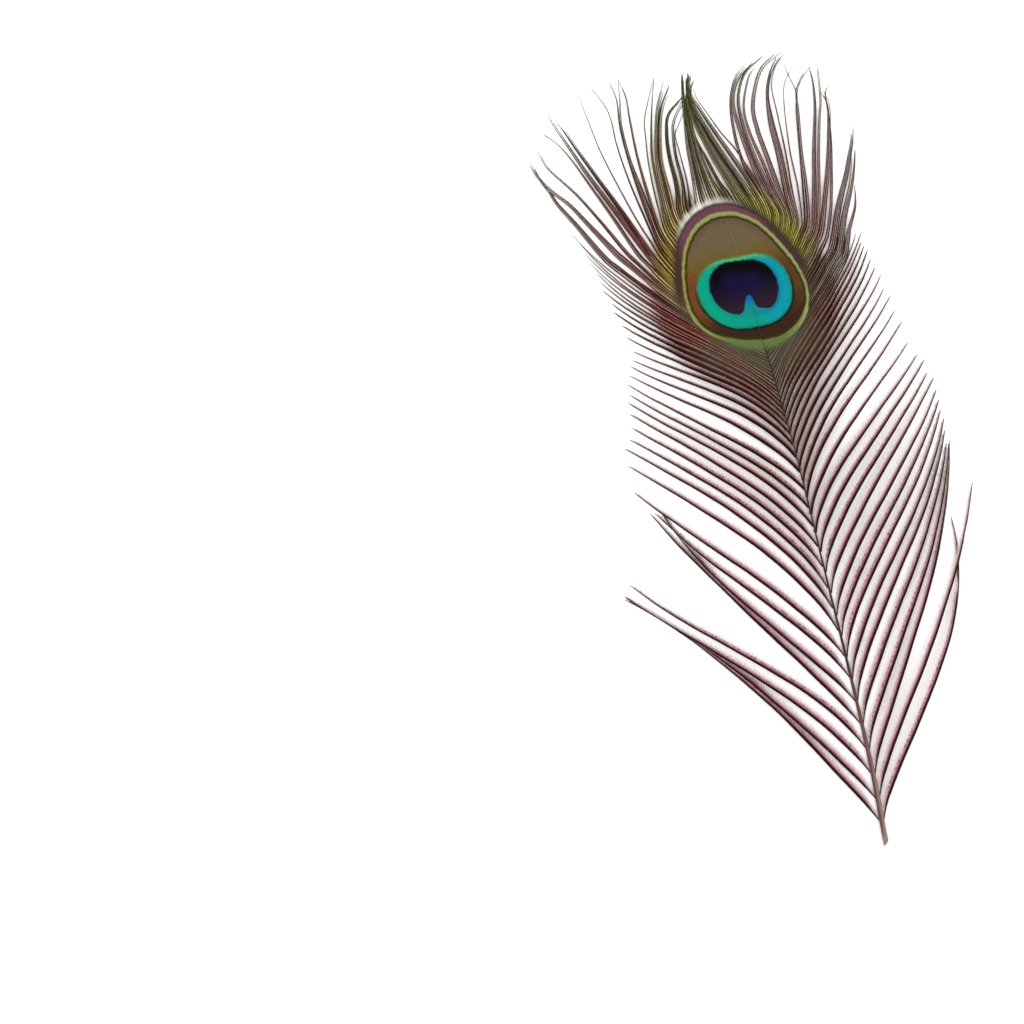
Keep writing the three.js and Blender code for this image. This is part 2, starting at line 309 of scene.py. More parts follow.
# How far points lie outside a round outline, in mm, and at which angle round its centre
def outlineDistance(outline, x, y):
    centre, radius, *pushes = outline
    dx, dy = x - centre[0], y - centre[1]
    angle = np.arctan2(dy, dx)
    edge = radius
    for turns, (c, s) in enumerate(pushes, start=1):
        edge = edge + c * np.cos(turns * angle) + s * np.sin(turns * angle)
    return np.hypot(dx, dy) - edge, angle


# The way of one barb by itself, seen from above, from the shaft to its tip
def barbWay(side, place, stretch=1.0, wander=0.0):
    steps = barbShape["steps"]
    root, middle, tip, length = [between(barbPlan[side], place, column) for column in (1, 2, 3, 4)]
    u = (np.arange(steps) + 0.5) / steps
    heading = root * 2 * (u - 0.5) * (u - 1) + middle * 4 * u * (1 - u) + tip * 2 * u * (u - 0.5)
    bends = wander * np.sin(barbShape["wanderTurns"] * math.pi * u + place)
    for degrees, waves, shift in barbShape["kinks"]:
        bends = bends + degrees * np.sin(waves * u + shift * place)
    heading = np.radians(heading + bends)
    moves = np.stack([np.sin(heading), np.cos(heading)], axis=1) * length * stretch / steps
    way = shaftAt(place)[:2] + np.vstack([[0, 0], np.cumsum(moves, axis=0)])
    sweep = barbShape["rootSweep"][side] * (1 - smooth(place, *barbShape["sweepPlaces"]))
    for i, share in enumerate(barbShape["sweepShares"]):
        way[i, 1] -= sweep * share
    return way


# The way of a barb of a lock: its own as far as the eye's edge, then beside its neighbours to their tips.
# Its rank runs from -1 to 1 across the lock.
def lockWay(side, place, path, rank, barbCount, share, stray):
    own = barbWay(side, place)
    path = np.array(path, float)
    along = np.gradient(path, axis=0)
    along /= np.linalg.norm(along, axis=1, keepdims=True)
    toRight = np.stack([along[:, 1], -along[:, 0]], axis=1)
    out = np.linspace(0, 1, len(path))
    half = blend(lockShape["startHalf"], lockShape["tipHalf"], out ** lockShape["tighten"]) * barbCount
    path = path + toRight * (stray * out**2 - side * rank * half)[:, None]
    nearest = int(np.argmin(np.linalg.norm(own - path[0], axis=1)))
    join = max(nearest, lockShape["soonest"])
    lean = (np.arange(join + 1) / join) ** 2
    own = own[: join + 1] + lean[:, None] * (path[0] - own[join])
    way = lineThrough(np.vstack([own[: -2 : lockShape["keepEach"]], path]), lockShape["fine"])
    places = distancesAlong(way)
    wanted = np.linspace(0, places[-1] * share, barbShape["steps"] + 1)
    return np.stack([np.interp(wanted, places, way[:, k]) for k in range(2)], axis=1)


# A planned barb: heights for a way seen from above, and where it grows
def plannedBarb(side, place, way, tipRise):
    u = np.linspace(0, 1, len(way))
    webShare = smooth(place, *barbShape["webPlaces"])
    rootHeight = blend(shaftAt(place)[2], barbShape["webLine"], webShare)
    varies = barbShape["archVaries"]
    wave = math.sin(barbShape["archShift"] * place)
    arch = barbShape["arch"] * (1 - varies + varies * wave * (1 - webShare))
    arch = arch * (1 - barbShape["archLost"] * webShare)
    height = blend(rootHeight, barbShape["tipHeight"], u) + arch * np.sin(math.pi * u) + tipRise * u
    return {"side": side, "place": place, "line": np.hstack([way, height[:, None]])}


def planLooseBarbs(side, draw):
    places = list(rootPlan[side])
    while True:
        spacing = float(between(spacingPlan[side], places[-1]))
        following = places[-1] + spacing * draw.uniform(*barbShape["spacing"])
        if following >= crownFrom[side]:
            break
        places.append(following)
    vane = []
    for place in places:
        way = barbWay(side, place, draw.uniform(*barbShape["stretch"]), draw.uniform(*barbShape["wander"]))
        vane.append(plannedBarb(side, place, way, draw.uniform(*barbShape["tipRise"])))
    return vane


def planCrownBarbs(side, draw):
    locks = sorted(lockPlan[side])
    roots = [lock[0] for lock in locks]
    edges = [crownFrom[side]] + [(a + b) / 2 for a, b in zip(roots, roots[1:])] + [shaftPlan["end"]]
    vane = []
    for (_, barbCount, *path), low, high in zip(locks, edges, edges[1:]):
        for i in range(barbCount):
            share = (i + 0.5) / barbCount
            place = low + share * (high - low)
            length = 1 - (draw.uniform(0, lockShape["shorten"]) if i else 0)
            stray = draw.uniform(-1, 1) * lockShape["wander"]
            way = lockWay(side, place, path, 2 * share - 1, barbCount, length, stray)
            vane.append(plannedBarb(side, place, way, draw.uniform(*lockShape["tipRise"])))
    return vane


# All barbs in order, from the lowest left one over the crown to the lowest right one
def planBarbs():
    draw = random.Random(barbShape["seed"])
    left = planLooseBarbs(-1, draw) + planCrownBarbs(-1, draw)
    right = planLooseBarbs(1, draw) + planCrownBarbs(1, draw)
    for i, barb in enumerate(left + right):
        barb["tone"] = 0.5 * (i // 2 % 2) + 0.5 * draw.random()  # light and dark pairs take turns
    return left + right[::-1]


barbs = planBarbs()
print("barbs planned:", len(barbs))


# Colours

# A colour written as on a paint chart, in the numbers that Blender's shaders use
def paint(chart):
    values = [int(chart[i : i + 2], 16) / 255 for i in (1, 3, 5)]
    values = [v / 12.92 if v <= 0.04045 else ((v + 0.055) / 1.055) ** 2.4 for v in values]
    return tuple(v / light["onFeather"] for v in values) + (1,)


barbPaints = {
    "blush": "#cdb0b2",
    "rose": "#c08a92",
    "dusk": "#aa7468",
    "ash": "#ae968e",
    "stone": "#a48c7c",
    "fawn": "#a88c80",
    "clay": "#9a7164",
    "bark": "#845a4e",
    "umber": "#705a48",
    "slate": "#6e6e56",
    "sand": "#a8906a",
    "straw": "#baa64c",
    "lime": "#acb048",
    "moss": "#98984e",
    "cream": "#ece4d2",
    "khaki": "#8f8866",
    "leaf": "#606b32",
    "fern": "#6e7644",
    "mouse": "#8c7664",
    "wine": "#9c6058",
    "smoke": "#a29a8c",
}
# Paints of a barb's soft side near the eye or shaft, half way out and at its tip, by place
tintPlan = {
    1: [
        (0, "blush", "rose", "ash"), (60, "blush", "rose", "ash"),
        (105, "fawn", "dusk", "clay"), (118, "fawn", "clay", "clay"),
        (130, "fawn", "bark", "clay"), (142, "mouse", "clay", "clay"),
        (150, "mouse", "umber", "clay"), (157, "slate", "umber", "ash"),
        (165, "umber", "wine", "smoke"), (170, "khaki", "wine", "smoke"),
        (175, "moss", "wine", "ash"), (180, "lime", "wine", "smoke"),
        (184, "lime", "wine", "smoke"), (186, "lime", "bark", "leaf"),
        (187.4, "moss", "khaki", "leaf"), (189, "khaki", "khaki", "leaf"),
    ],
    -1: [
        (0, "blush", "rose", "ash"), (60, "blush", "rose", "ash"),
        (105, "fawn", "dusk", "clay"), (118, "fawn", "clay", "clay"),
        (130, "fawn", "bark", "clay"), (142, "mouse", "clay", "clay"),
        (152, "mouse", "wine", "stone"), (158, "slate", "wine", "ash"),
        (162, "sand", "wine", "ash"), (167, "straw", "wine", "smoke"),
        (173, "straw", "dusk", "smoke"), (176, "straw", "sand", "khaki"),
        (180, "straw", "sand", "fern"), (183, "sand", "khaki", "fern"),
        (185.5, "cream", "stone", "leaf"), (187.5, "cream", "khaki", "leaf"),
        (189, "khaki", "khaki", "leaf"),
    ],
}
# Loose barbs are measured from the shaft and those of the crown from the green ring
tintReach = {
    "crownPlaces": (150, 160),  # barbs turn from loose ones to those of the crown between these places
    "nearTo": (3, 5),  # mm where the first paint ends, on a loose barb and on one of the crown
    "middleFrom": (16, 12),  # and where the second one starts
    "middleTo": (0.55, 0.45),  # share of the way to the tip where it ends, but at the least so many mm
    "middleToLeast": 17,
    "tipFrom": 0.87,
    "tipFromLeast": 18,
    "tipGain": 0.5,  # the tips of the crown are lighter by this share
    "apartFrom": (1, 9),  # mm from the ring over which barbs start to differ from each other
    "toneGain": 1.5,
    "glint": (1.02, 1.05, 0.7),  # the lighter barbs of the crown lean to olive, the darker ones away from it
    "glintGain": 1.4,
    "glintRange": (-0.3, 0.6),
}


# The tints along one barb: those of the eye's edge end a few mm out of the green ring
def barbTint(barb):
    rows = tintPlan[barb["side"]]
    places = [row[0] for row in rows]
    paints = []
    for column in (1, 2, 3):
        colours = np.array([paint(barbPaints[row[column]])[:3] for row in rows])
        paints.append(np.array([np.interp(barb["place"], places, colours[:, k]) for k in range(3)]))
    near, middle, tip = paints
    crown = float(smooth(barb["place"], *tintReach["crownPlaces"]))
    fromRing = outlineDistance(eyePlan["ring"], barb["line"][:, 0], barb["line"][:, 1])[0]
    out = crown * fromRing + (1 - crown) * barb["mmAlong"]
    farthest = out[-1]
    marks = (
        blend(*tintReach["nearTo"], crown),
        blend(*tintReach["middleFrom"], crown),
        max(blend(*tintReach["middleTo"], crown) * farthest, tintReach["middleToLeast"]),
        max(tintReach["tipFrom"] * farthest, tintReach["tipFromLeast"]),
        farthest,
    )
    stops = np.array([near, middle, middle, tip, tip * (1 + tintReach["tipGain"] * crown)])
    tint = np.stack([np.interp(out, marks, stops[:, k]) for k in range(3)], axis=1)
    lighter = (barb["tone"] - 0.5) * crown * smooth(out, *tintReach["apartFrom"])[:, None]
    tint = tint * (1 + tintReach["toneGain"] * lighter)
    glint = tint.mean(axis=1, keepdims=True) * tintReach["glint"]
    return blend(tint, glint, np.clip(lighter * tintReach["glintGain"], *tintReach["glintRange"]))


# The barbs as meshes

ribbonShape = {
    "toTip": (0.48, 1.3),  # width of the side that faces the feather's tip, on a strand and on a loose barb
    "toBase": (0.3, 0.6),  # and of the side that faces its base
    "least": (0.12, 0.1),  # of these sides, where neighbours come close
    "loosePlaces": (138, 155),  # barbs turn from loose ones to strands between these places
    "fill": (0.57, 0.38),  # how much of the gaps on both sides a barb fills where locks are dense
    "fillApart": {1: (0.45, 0.26), -1: (0.56, 0.36)},  # and elsewhere
    "densePlaces": {1: (186, 187), -1: (171, 174)},
    "overlap": 1.07,  # barbs of the web reach a little over each other
    "widestGap": 2.6,  # that the web closes
    "openGap": (1.5, 3.2),  # barbs with such gaps turn from close ones to ones that stand apart
    "endGap": 3,  # taken beside the outermost barbs
    "taper": 0.84,  # share of its width that a barb loses as far as its tip
    "taperPower": (2, 2.6),  # on a strand and on a loose barb
    "barePlaces": (85, 125),  # the lowest barbs are bare near the shaft
    "bareTo": (2, 10),  # mm from it
    "bareShare": 0.85,
    "sparsePlaces": ((92, 112), (134, 148)),  # barbs between these places are narrower in their outer half
    "sparseFrom": (0.2, 0.65),
    "sparseShare": 0.32,
    "ridge": 0.1,
    "drop": 0.12,
    "under": 1.4,  # drops that the underside lies below the barb's line
    "fullWidth": 0.8,  # narrower ribbons are flatter
    "flatInWeb": 0.8,
    "floor": 0.01,  # nothing lies lower than this over the table
}
barbuleShape = {
    "pitch": (0.24, 0.15),  # mm from one to the next, on a strand and on a loose barb
    "basePitch": 1.7,  # times as far from each other on the side that faces the base
    "jitter": 0.4,
    "from": 1.5,  # mm from the shaft
    "to": 0.985,  # share of the barb's length
    "webLoss": 1.6,  # above 1 they are gone before the web is closed
    "width": 0.16,
    "foot": 0.72,  # share of the barb's width where they start
    "run": 0.28,  # share of that by which they run on under the edge
    "depth": 0.07,
    "angle": (32, 48),  # degrees between them and a strand, or a loose barb
    "angleSpread": 9,
    "reachToTip": (0.42, 1.9),  # mm past the edge of a strand and of a loose barb
    "reachToBase": (0.28, 0.16),
    "reachLoss": 1.1,  # mm by which those of loose barbs are shorter near the eye
    "lossPlaces": (95, 128),
    "reachSpread": (0.45, 1.25),
    "tipLoss": 0.55,
    "bareReach": 0.3,  # share that is left where the lowest barbs are bare
    "darkShare": 0.05,  # of those of loose barbs are dark and stand out
    "darkReach": 0.5,
    "rise": (-0.1, 0.16),  # mm by which their tips differ, around the tip's drop
    "tipDrop": 0.1,
    "leastDepth": 0.02,
    "acrossToTip": (0.85, 1.3),  # where across the barb's colours they start and end
    # barbules on the side that faces the base take the dark line's colour: the dark stem and painted shade
    "acrossToBase": (0.15, -0.1),
    "acrossDark": 0.3,
}


# How much of the web holds together at each point: 1 in the eye, 0 where barbs are strands.
# It reaches farther on the left of the eye, and farthest below it.
webReach = {"least": 5, "left": 2, "below": 5, "fade": (-1, 6)}


def webShareAt(x, y):
    distance, angle = outlineDistance(eyePlan["ring"], x, y)
    left, below = np.clip(-np.cos(angle), 0, 1), np.clip(-np.sin(angle), 0, 1)
    reach = webReach["least"] + webReach["left"] * left + webReach["below"] * below**2
    return 1 - smooth(distance, reach + webReach["fade"][0], reach + webReach["fade"][1])


def measureBarbs():
    lines = np.array([barb["line"] for barb in barbs])
    along = np.zeros_like(lines)
    along[:, 1:-1] = lines[:, 2:] - lines[:, :-2]
    along[:, 0] = lines[:, 1] - lines[:, 0]
    along[:, -1] = lines[:, -1] - lines[:, -2]
    along[:, :, 2] = 0
    along /= np.linalg.norm(along, axis=2, keepdims=True)
    for i, barb in enumerate(barbs):
        side, place, heading = barb["side"], barb["place"], along[i]
        toTip = np.stack([-heading[:, 1], heading[:, 0]], axis=1) * side  # across, facing the feather's tip
        gaps = []
        for other in (i + side, i - side):
            if 0 <= other < len(barbs):
                apart = np.abs(np.sum((lines[other, :, :2] - lines[i, :, :2]) * toTip, axis=1))
            else:
                apart = np.full(len(heading), float(ribbonShape["endGap"]))
            gaps.append(apart)
        toBaseGap, toTipGap = gaps
        mmAlong = distancesAlong(lines[i])
        web = webShareAt(lines[i, :, 0], lines[i, :, 1])
        loose = 1 - smooth(place, *ribbonShape["loosePlaces"])
        bare = 1 - smooth(place, *ribbonShape["barePlaces"])
        grow = 1 - ribbonShape["bareShare"] * bare * (1 - smooth(mmAlong, *ribbonShape["bareTo"]))
        u = np.linspace(0, 1, len(heading))
        taper, (strandPower, loosePower) = ribbonShape["taper"], ribbonShape["taperPower"]
        thin = 1 - taper * u**loosePower * loose - taper * u**strandPower * (1 - loose)
        sparseLow, sparseHigh = ribbonShape["sparsePlaces"]
        sparse = smooth(place, *sparseLow) * (1 - smooth(place, *sparseHigh))
        sparse = 1 - ribbonShape["sparseShare"] * sparse * smooth(u, *ribbonShape["sparseFrom"])
        dense = smooth(place, *ribbonShape["densePlaces"][side])
        fills = zip(ribbonShape["fillApart"][side], ribbonShape["fill"])
        fillTip, fillBase = [blend(apart, close, dense) for apart, close in fills]
        leastTip, leastBase = ribbonShape["least"]
        openTip = np.minimum(
            blend(*ribbonShape["toTip"], loose) * grow * thin, np.maximum(toTipGap * fillTip, leastTip)
        )
        openBase = np.minimum(
            blend(*ribbonShape["toBase"], loose) * thin, np.maximum(toBaseGap * fillBase, leastBase)
        )
        half, widest = 0.5 * ribbonShape["overlap"], ribbonShape["widestGap"]
        barb["toTip"] = web * np.minimum(toTipGap, widest) * half + (1 - web) * (sparse * openTip)
        barb["toBase"] = web * np.minimum(toBaseGap, widest) * half + (1 - web) * (sparse * openBase)
        barb["open"] = smooth(toTipGap, *ribbonShape["openGap"]) * (1 - web)
        barb["web"], barb["grow"], barb["loose"] = web, grow, float(loose)
        barb["mmAlong"], barb["heading"], barb["across"] = mmAlong, heading, toTip


measureBarbs()


# Collects the points and faces of one joined mesh
class MeshPile:
    def __init__(self):
        self.points, self.faces, self.tints, self.count = [], [], [], 0
        self.facts = {"across": [], "along": [], "tone": [], "open": []}

    def add(self, points, faces, tints, **facts):
        self.points.append(points)
        self.faces.append(faces + self.count)
        self.count += len(points)
        self.tints.append(tints)
        for name, values in facts.items():
            self.facts[name].append(np.broadcast_to(np.asarray(values, float), (len(points),)))


# One barb as a closed ribbon with a dark ridge on the side that faces the shaft's base: its dark stem, with
# painted shade on that side of the barb
def addRibbon(pile, barb):
    line, across = barb["line"], barb["across"]
    toTip, toBase = barb["toTip"], barb["toBase"]
    flat = 1 - ribbonShape["flatInWeb"] * barb["web"]
    flat = flat * np.minimum((toTip + toBase) / ribbonShape["fullWidth"], 1)
    ridge, drop = ribbonShape["ridge"] * flat, ribbonShape["drop"] * flat
    base = ribbonShape["drop"] * ribbonShape["under"]
    section = (
        (-toBase, -0.6 * drop),
        (-0.25 * toBase, ridge),
        (0.5 * toTip, 0.25 * ridge),
        (toTip, -drop),
        (0.1 * toTip, -base),
    )
    rows, sides = len(line), len(section)
    points = np.zeros((rows, sides, 3))
    share = np.zeros((rows, sides))
    for k, (offset, height) in enumerate(section):
        points[:, k, :2] = line[:, :2] + across * offset[:, None]
        points[:, k, 2] = line[:, 2] + height
        share[:, k] = (offset + toBase) / (toTip + toBase)
    points[:, :, 2] = np.maximum(points[:, :, 2], ribbonShape["floor"])
    row, side = np.meshgrid(np.arange(rows - 1), np.arange(sides), indexing="ij")
    a = row * sides + side
    b = row * sides + (side + 1) % sides
    quads = np.stack([a, b, b + sides, a + sides], axis=-1).reshape(-1, 4)
    last = (rows - 1) * sides
    rootCap = [(0, k + 1, k) for k in range(1, sides - 1)]
    tipCap = [(last, last + k, last + k + 1) for k in range(1, sides - 1)]
    faces = np.concatenate([quads[:, (0, 1, 2)], quads[:, (0, 2, 3)], np.array(rootCap + tipCap)])
    if barb["side"] > 0:
        faces = faces[:, ::-1]
    pile.add(
        points.reshape(-1, 3),
        faces,
        np.repeat(barb["tint"], sides, axis=0),
        across=share.ravel(),
        along=np.repeat(barb["mmAlong"], sides),
        tone=barb["tone"],
        open=np.repeat(barb["open"], sides),
    )


# The barbules: small pointed spikes that lean forwards out of a barb's edge
def addBarbules(pile, barb, draw, onTipSide):
    shape = barbuleShape
    length, loose = barb["mmAlong"][-1], barb["loose"]
    pitch = blend(*shape["pitch"], loose) * (1 if onTipSide else shape["basePitch"])
    places = np.arange(shape["from"], length * shape["to"], pitch)
    places = places + draw.uniform(-shape["jitter"], shape["jitter"], len(places)) * pitch

    def at(name, column=None):
        values = barb[name] if column is None else barb[name][:, column]
        return np.interp(places, barb["mmAlong"], values)

    def columnsAt(name, count):
        return np.stack([at(name, k) for k in range(count)], axis=1)

    places = places[draw.random(len(places)) > at("web") * shape["webLoss"]]
    count = len(places)
    if not count:
        return
    middle, heading, across = columnsAt("line", 3), columnsAt("heading", 2), columnsAt("across", 2)
    out = 1 if onTipSide else -1
    dark = draw.random(count) < shape["darkShare"] * loose
    onStrand, onLoose = shape["reachToTip" if onTipSide else "reachToBase"]
    if onTipSide:
        onLoose = onLoose - shape["reachLoss"] * float(smooth(barb["place"], *shape["lossPlaces"]))
    reach = onLoose * loose + onStrand * (1 - loose)
    reach = reach * draw.uniform(*shape["reachSpread"], count)
    reach = reach * (1 - shape["tipLoss"] * (places / length) ** 4)
    reach = np.where(dark, shape["darkReach"], reach) * blend(shape["bareReach"], 1, at("grow"))
    spread = draw.uniform(-shape["angleSpread"], shape["angleSpread"], count)
    angle = np.radians(blend(*shape["angle"], loose) + spread)
    direction = heading * np.cos(angle)[:, None] + across * (out * np.sin(angle))[:, None]
    foot = at("toTip" if onTipSide else "toBase") * shape["foot"]
    spike = foot * shape["run"] / np.sin(angle) + reach
    base = middle[:, :2] + across * (out * foot)[:, None]
    half = shape["width"] / 2
    points = np.zeros((count, 4, 3))
    points[:, 0, :2] = base - heading * half
    points[:, 1, :2] = base + heading * half
    points[:, 2, :2] = base
    points[:, 3, :2] = base + direction * spike[:, None]
    points[:, :3, 2] = middle[:, 2:3]
    points[:, 2, 2] -= shape["depth"]
    points[:, 3, 2] = middle[:, 2] - shape["tipDrop"] + draw.uniform(*shape["rise"], count)
    points[:, :, 2] = np.maximum(points[:, :, 2], ribbonShape["floor"])
    points[:, 2, 2] = np.minimum(points[:, 2, 2], points[:, 0, 2] - shape["leastDepth"])
    corners = np.array([(3, 1, 0), (3, 2, 1), (0, 2, 3), (1, 2, 0)])
    if barb["side"] * out > 0:
        corners = corners[:, ::-1]
    faces = (np.arange(count)[:, None, None] * 4 + corners[None]).reshape(-1, 3)
    start, end = shape["acrossToTip" if onTipSide else "acrossToBase"]
    share = np.where(dark[:, None], shape["acrossDark"], np.tile((start, start, start, end), (count, 1)))
    pile.add(
        points.reshape(-1, 3),
        faces,
        np.repeat(columnsAt("tint", 3), 4, axis=0),
        across=share.ravel(),
        along=np.repeat(places, 4),
        tone=barb["tone"],
        open=np.repeat(at("open"), 4),
    )


def makeBarbPiece(name, chosen, seed):
    draw = np.random.default_rng(seed)
    pile = MeshPile()
    for barb in chosen:
        barb["tint"] = barbTint(barb)
        addRibbon(pile, barb)
        addBarbules(pile, barb, draw, True)
        addBarbules(pile, barb, draw, False)
    points = np.concatenate(pile.points) * mm
    faces = np.concatenate(pile.faces)
    mesh = bpy.data.meshes.new(name)
    mesh.from_pydata(points.tolist(), [], faces.tolist())
    for fact, values in pile.facts.items():
        layer = mesh.attributes.new(fact, "FLOAT", "POINT")
        layer.data.foreach_set("value", np.concatenate(values).astype(np.float32))
    tints = np.hstack([np.concatenate(pile.tints), np.ones((len(points), 1))])
    layer = mesh.attributes.new("tint", "FLOAT_COLOR", "POINT")
    layer.data.foreach_set("color", tints.astype(np.float32).ravel())
    mesh.update()
    piece = bpy.data.objects.new(name, mesh)
    bpy.context.collection.objects.link(piece)
    print(name, "made:", len(chosen), "barbs,", len(faces), "triangles")
    return piece


webFrom = 146  # barbs that leave the shaft above this place belong to the eye and its crown
pieces = {}
for part, inWeb in (("loose_barbs", False), ("eye_and_crown", True)):
    for hand, side in (("left", -1), ("right", 1)):
        name = f"{part}_{hand}"
        chosen = [barb for barb in barbs if barb["side"] == side and (barb["place"] >= webFrom) == inWeb]
        pieces[name] = makeBarbPiece(name, chosen, len(pieces) + 1)


# The shaft, drawn out ring by ring from the cut end

cutEnd = {
    "slope": 0.9,  # the cut runs this much along the shaft for each mm across
    "depth": 0.5,  # how far behind the origin it crosses the middle
    "rim": 0.16,
    "hollow": 0.25,
}
shaftOnEye = {"lift": 0.22, "rise": (135, 162), "fall": (181, 175)}  # a thin ridge as far as the eye's heart
smoothBelow = 40  # degrees between faces that are shaded as one


def makeShaft():
    places = np.append(np.arange(shaftPlan["start"], shaftPlan["end"], shaftPlan["step"]), shaftPlan["end"])
    radius = float(between(shaftPlan["radii"], 0))
    start = shaftAt(0)
    bpy.ops.mesh.primitive_circle_add(
        vertices=shaftPlan["sides"],
        radius=radius * mm,
        fill_type="NGON",
        location=(start[0] * mm, places[0] * mm, start[2] * mm),
        rotation=(math.pi / 2, 0, 0),
    )
    shaft = bpy.context.object
    shaft.name = "shaft"
    bpy.ops.object.mode_set(mode="EDIT")
    bpy.ops.mesh.select_all(action="SELECT")
    before = np.array([start[0], places[0], start[2]])
    for place in places[1:]:
        here = shaftAt(max(place, 0))
        onEye = smooth(place, *shaftOnEye["rise"]) * smooth(place, *shaftOnEye["fall"])
        here[2] += shaftOnEye["lift"] * float(onEye)
        if place < 0:
            here[1] = place
        newRadius = float(between(shaftPlan["radii"], place))
        bpy.ops.mesh.extrude_region_move(TRANSFORM_OT_translate={"value": tuple((here - before) * mm)})
        grow = newRadius / radius
        bpy.ops.transform.resize(value=(grow, grow, grow))
        before, radius = here, newRadius
    bpy.ops.mesh.select_all(action="SELECT")
    bpy.ops.mesh.normals_make_consistent(inside=False)
    normal = np.array([cutEnd["slope"], -1, 0])
    bpy.ops.mesh.bisect(
        plane_co=(0, -cutEnd["depth"] * mm, 0),
        plane_no=tuple(normal / np.linalg.norm(normal)),
        use_fill=True,
        clear_outer=True,
    )
    bpy.ops.mesh.inset(thickness=cutEnd["rim"] * mm)
    bpy.ops.transform.translate(value=(0, cutEnd["hollow"] * mm, 0))
    bpy.ops.object.mode_set(mode="OBJECT")
    bpy.ops.object.transform_apply(location=True, rotation=True, scale=True)
    bpy.ops.object.shade_smooth_by_angle(angle=math.radians(smoothBelow))
    shaft.select_set(False)
    points = np.array([vertex.co for vertex in shaft.data.vertices]) / mm
    middle = np.interp(points[:, 1], shaftLine[:, 1], shaftLine[:, 0])
    across = (points[:, 0] - middle) / between(shaftPlan["radii"], points[:, 1])
    layer = shaft.data.attributes.new("across", "FLOAT", "POINT")
    layer.data.foreach_set("value", across.astype(np.float32))
    return shaft


pieces["shaft"] = makeShaft()
print("shaft made:", len(pieces["shaft"].data.polygons), "faces")


# Shader helpers

def feed(tree, socket, value):
    if isinstance(value, bpy.types.NodeSocket):
        tree.links.new(value, socket)
    else:
        socket.default_value = value


def calculate(tree, operation, *values):
    node = tree.nodes.new("ShaderNodeMath")
    node.operation = operation
    for socket, value in zip(node.inputs, values):
        feed(tree, socket, value)
    return node.outputs[0]


def times(tree, product, *factors):
    for factor in factors:
        product = calculate(tree, "MULTIPLY", product, factor)
    return product


def scaled(tree, value, factor, shift):
    return calculate(tree, "MULTIPLY_ADD", value, factor, shift)


def mask(tree, value, low, high):
    node = tree.nodes.new("ShaderNodeMapRange")
    node.interpolation_type = "SMOOTHSTEP"
    feed(tree, node.inputs["Value"], value)
    feed(tree, node.inputs["From Min"], low)
    feed(tree, node.inputs["From Max"], high)
    return node.outputs["Result"]


def mix(tree, share, first, second, mode="MIX"):
    node = tree.nodes.new("ShaderNodeMix")
    node.data_type = "RGBA"
    node.blend_type = mode
    feed(tree, node.inputs[0], share)
    feed(tree, node.inputs[6], first)
    feed(tree, node.inputs[7], second)
    return node.outputs[2]


def noise(tree, vector, scale, detail, roughness):
    node = tree.nodes.new("ShaderNodeTexNoise")
    feed(tree, node.inputs["Vector"], vector)
    node.inputs["Scale"].default_value = scale
    node.inputs["Detail"].default_value = detail
    node.inputs["Roughness"].default_value = roughness
    return node.outputs["Fac"]


def combine(tree, x, y, z):
    node = tree.nodes.new("ShaderNodeCombineXYZ")
    for socket, value in zip(node.inputs, (x, y, z)):
        feed(tree, socket, value)
    return node.outputs["Vector"]


# The x and y of a position, in mm
def flatPlace(tree, position):
    node = tree.nodes.new("ShaderNodeSeparateXYZ")
    feed(tree, node.inputs[0], position)
    return [times(tree, node.outputs[name], 1 / mm) for name in ("X", "Y")]


def attribute(tree, name, output="Fac"):
    node = tree.nodes.new("ShaderNodeAttribute")
    node.attribute_name = name
    return node.outputs[output]


# A group with sockets of the kinds Float, Color and Vector, as "Name" or "Name:Kind"
def startGroup(name, inputs, outputs):
    tree = bpy.data.node_groups.new(name, "ShaderNodeTree")
    for way, sockets in (("INPUT", inputs), ("OUTPUT", outputs)):
        for socket in sockets:
            label, _, kind = socket.partition(":")
            tree.interface.new_socket(label, in_out=way, socket_type="NodeSocket" + (kind or "Float"))
    return tree, tree.nodes.new("NodeGroupInput").outputs, tree.nodes.new("NodeGroupOutput").inputs


def useGroup(tree, group, values):
    node = tree.nodes.new("ShaderNodeGroup")
    node.node_tree = group
    for name, value in values.items():
        feed(tree, node.inputs[name], value)
    return node.outputs


def startMaterial(name):
    material = bpy.data.materials.new(name)
    material.use_nodes = True
    tree = material.node_tree
    position = tree.nodes.new("ShaderNodeTexCoord").outputs["Object"]
    return material, tree, tree.nodes["Principled BSDF"].inputs, position


# Group: distance outside a round outline whose edge is pushed in and out round the circle
waves = (1, 2, 3, 4)


def makeOutlineGroup():
    pushes = [f"{name} {turns}" for turns in waves for name in ("Cos", "Sin")]
    tree, given, result = startGroup(
        "roundOutline", ["X", "Y", "Centre X", "Centre Y", "Radius"] + pushes, ["Distance", "Angle"]
    )
    dx = calculate(tree, "SUBTRACT", given["X"], given["Centre X"])
    dy = calculate(tree, "SUBTRACT", given["Y"], given["Centre Y"])
    angle = calculate(tree, "ARCTAN2", dy, dx)
    edge = given["Radius"]
    for turns in waves:
        turned = times(tree, angle, turns)
        for wave, name in (("COSINE", "Cos"), ("SINE", "Sin")):
            edge = scaled(tree, calculate(tree, wave, turned), given[f"{name} {turns}"], edge)
    far = calculate(tree, "SQRT", scaled(tree, dx, dx, times(tree, dy, dy)))
    feed(tree, result["Distance"], calculate(tree, "SUBTRACT", far, edge))
    feed(tree, result["Angle"], angle)
    return tree


outlineGroup = makeOutlineGroup()


def outlineNode(tree, x, y, name):
    centre, radius, *pushes = eyePlan[name]
    numbers = {"X": x, "Y": y, "Centre X": centre[0], "Centre Y": centre[1], "Radius": radius}
    for turns, (c, s) in zip(waves, pushes):
        numbers[f"Cos {turns}"] = c
        numbers[f"Sin {turns}"] = s
    return useGroup(tree, outlineGroup, numbers)


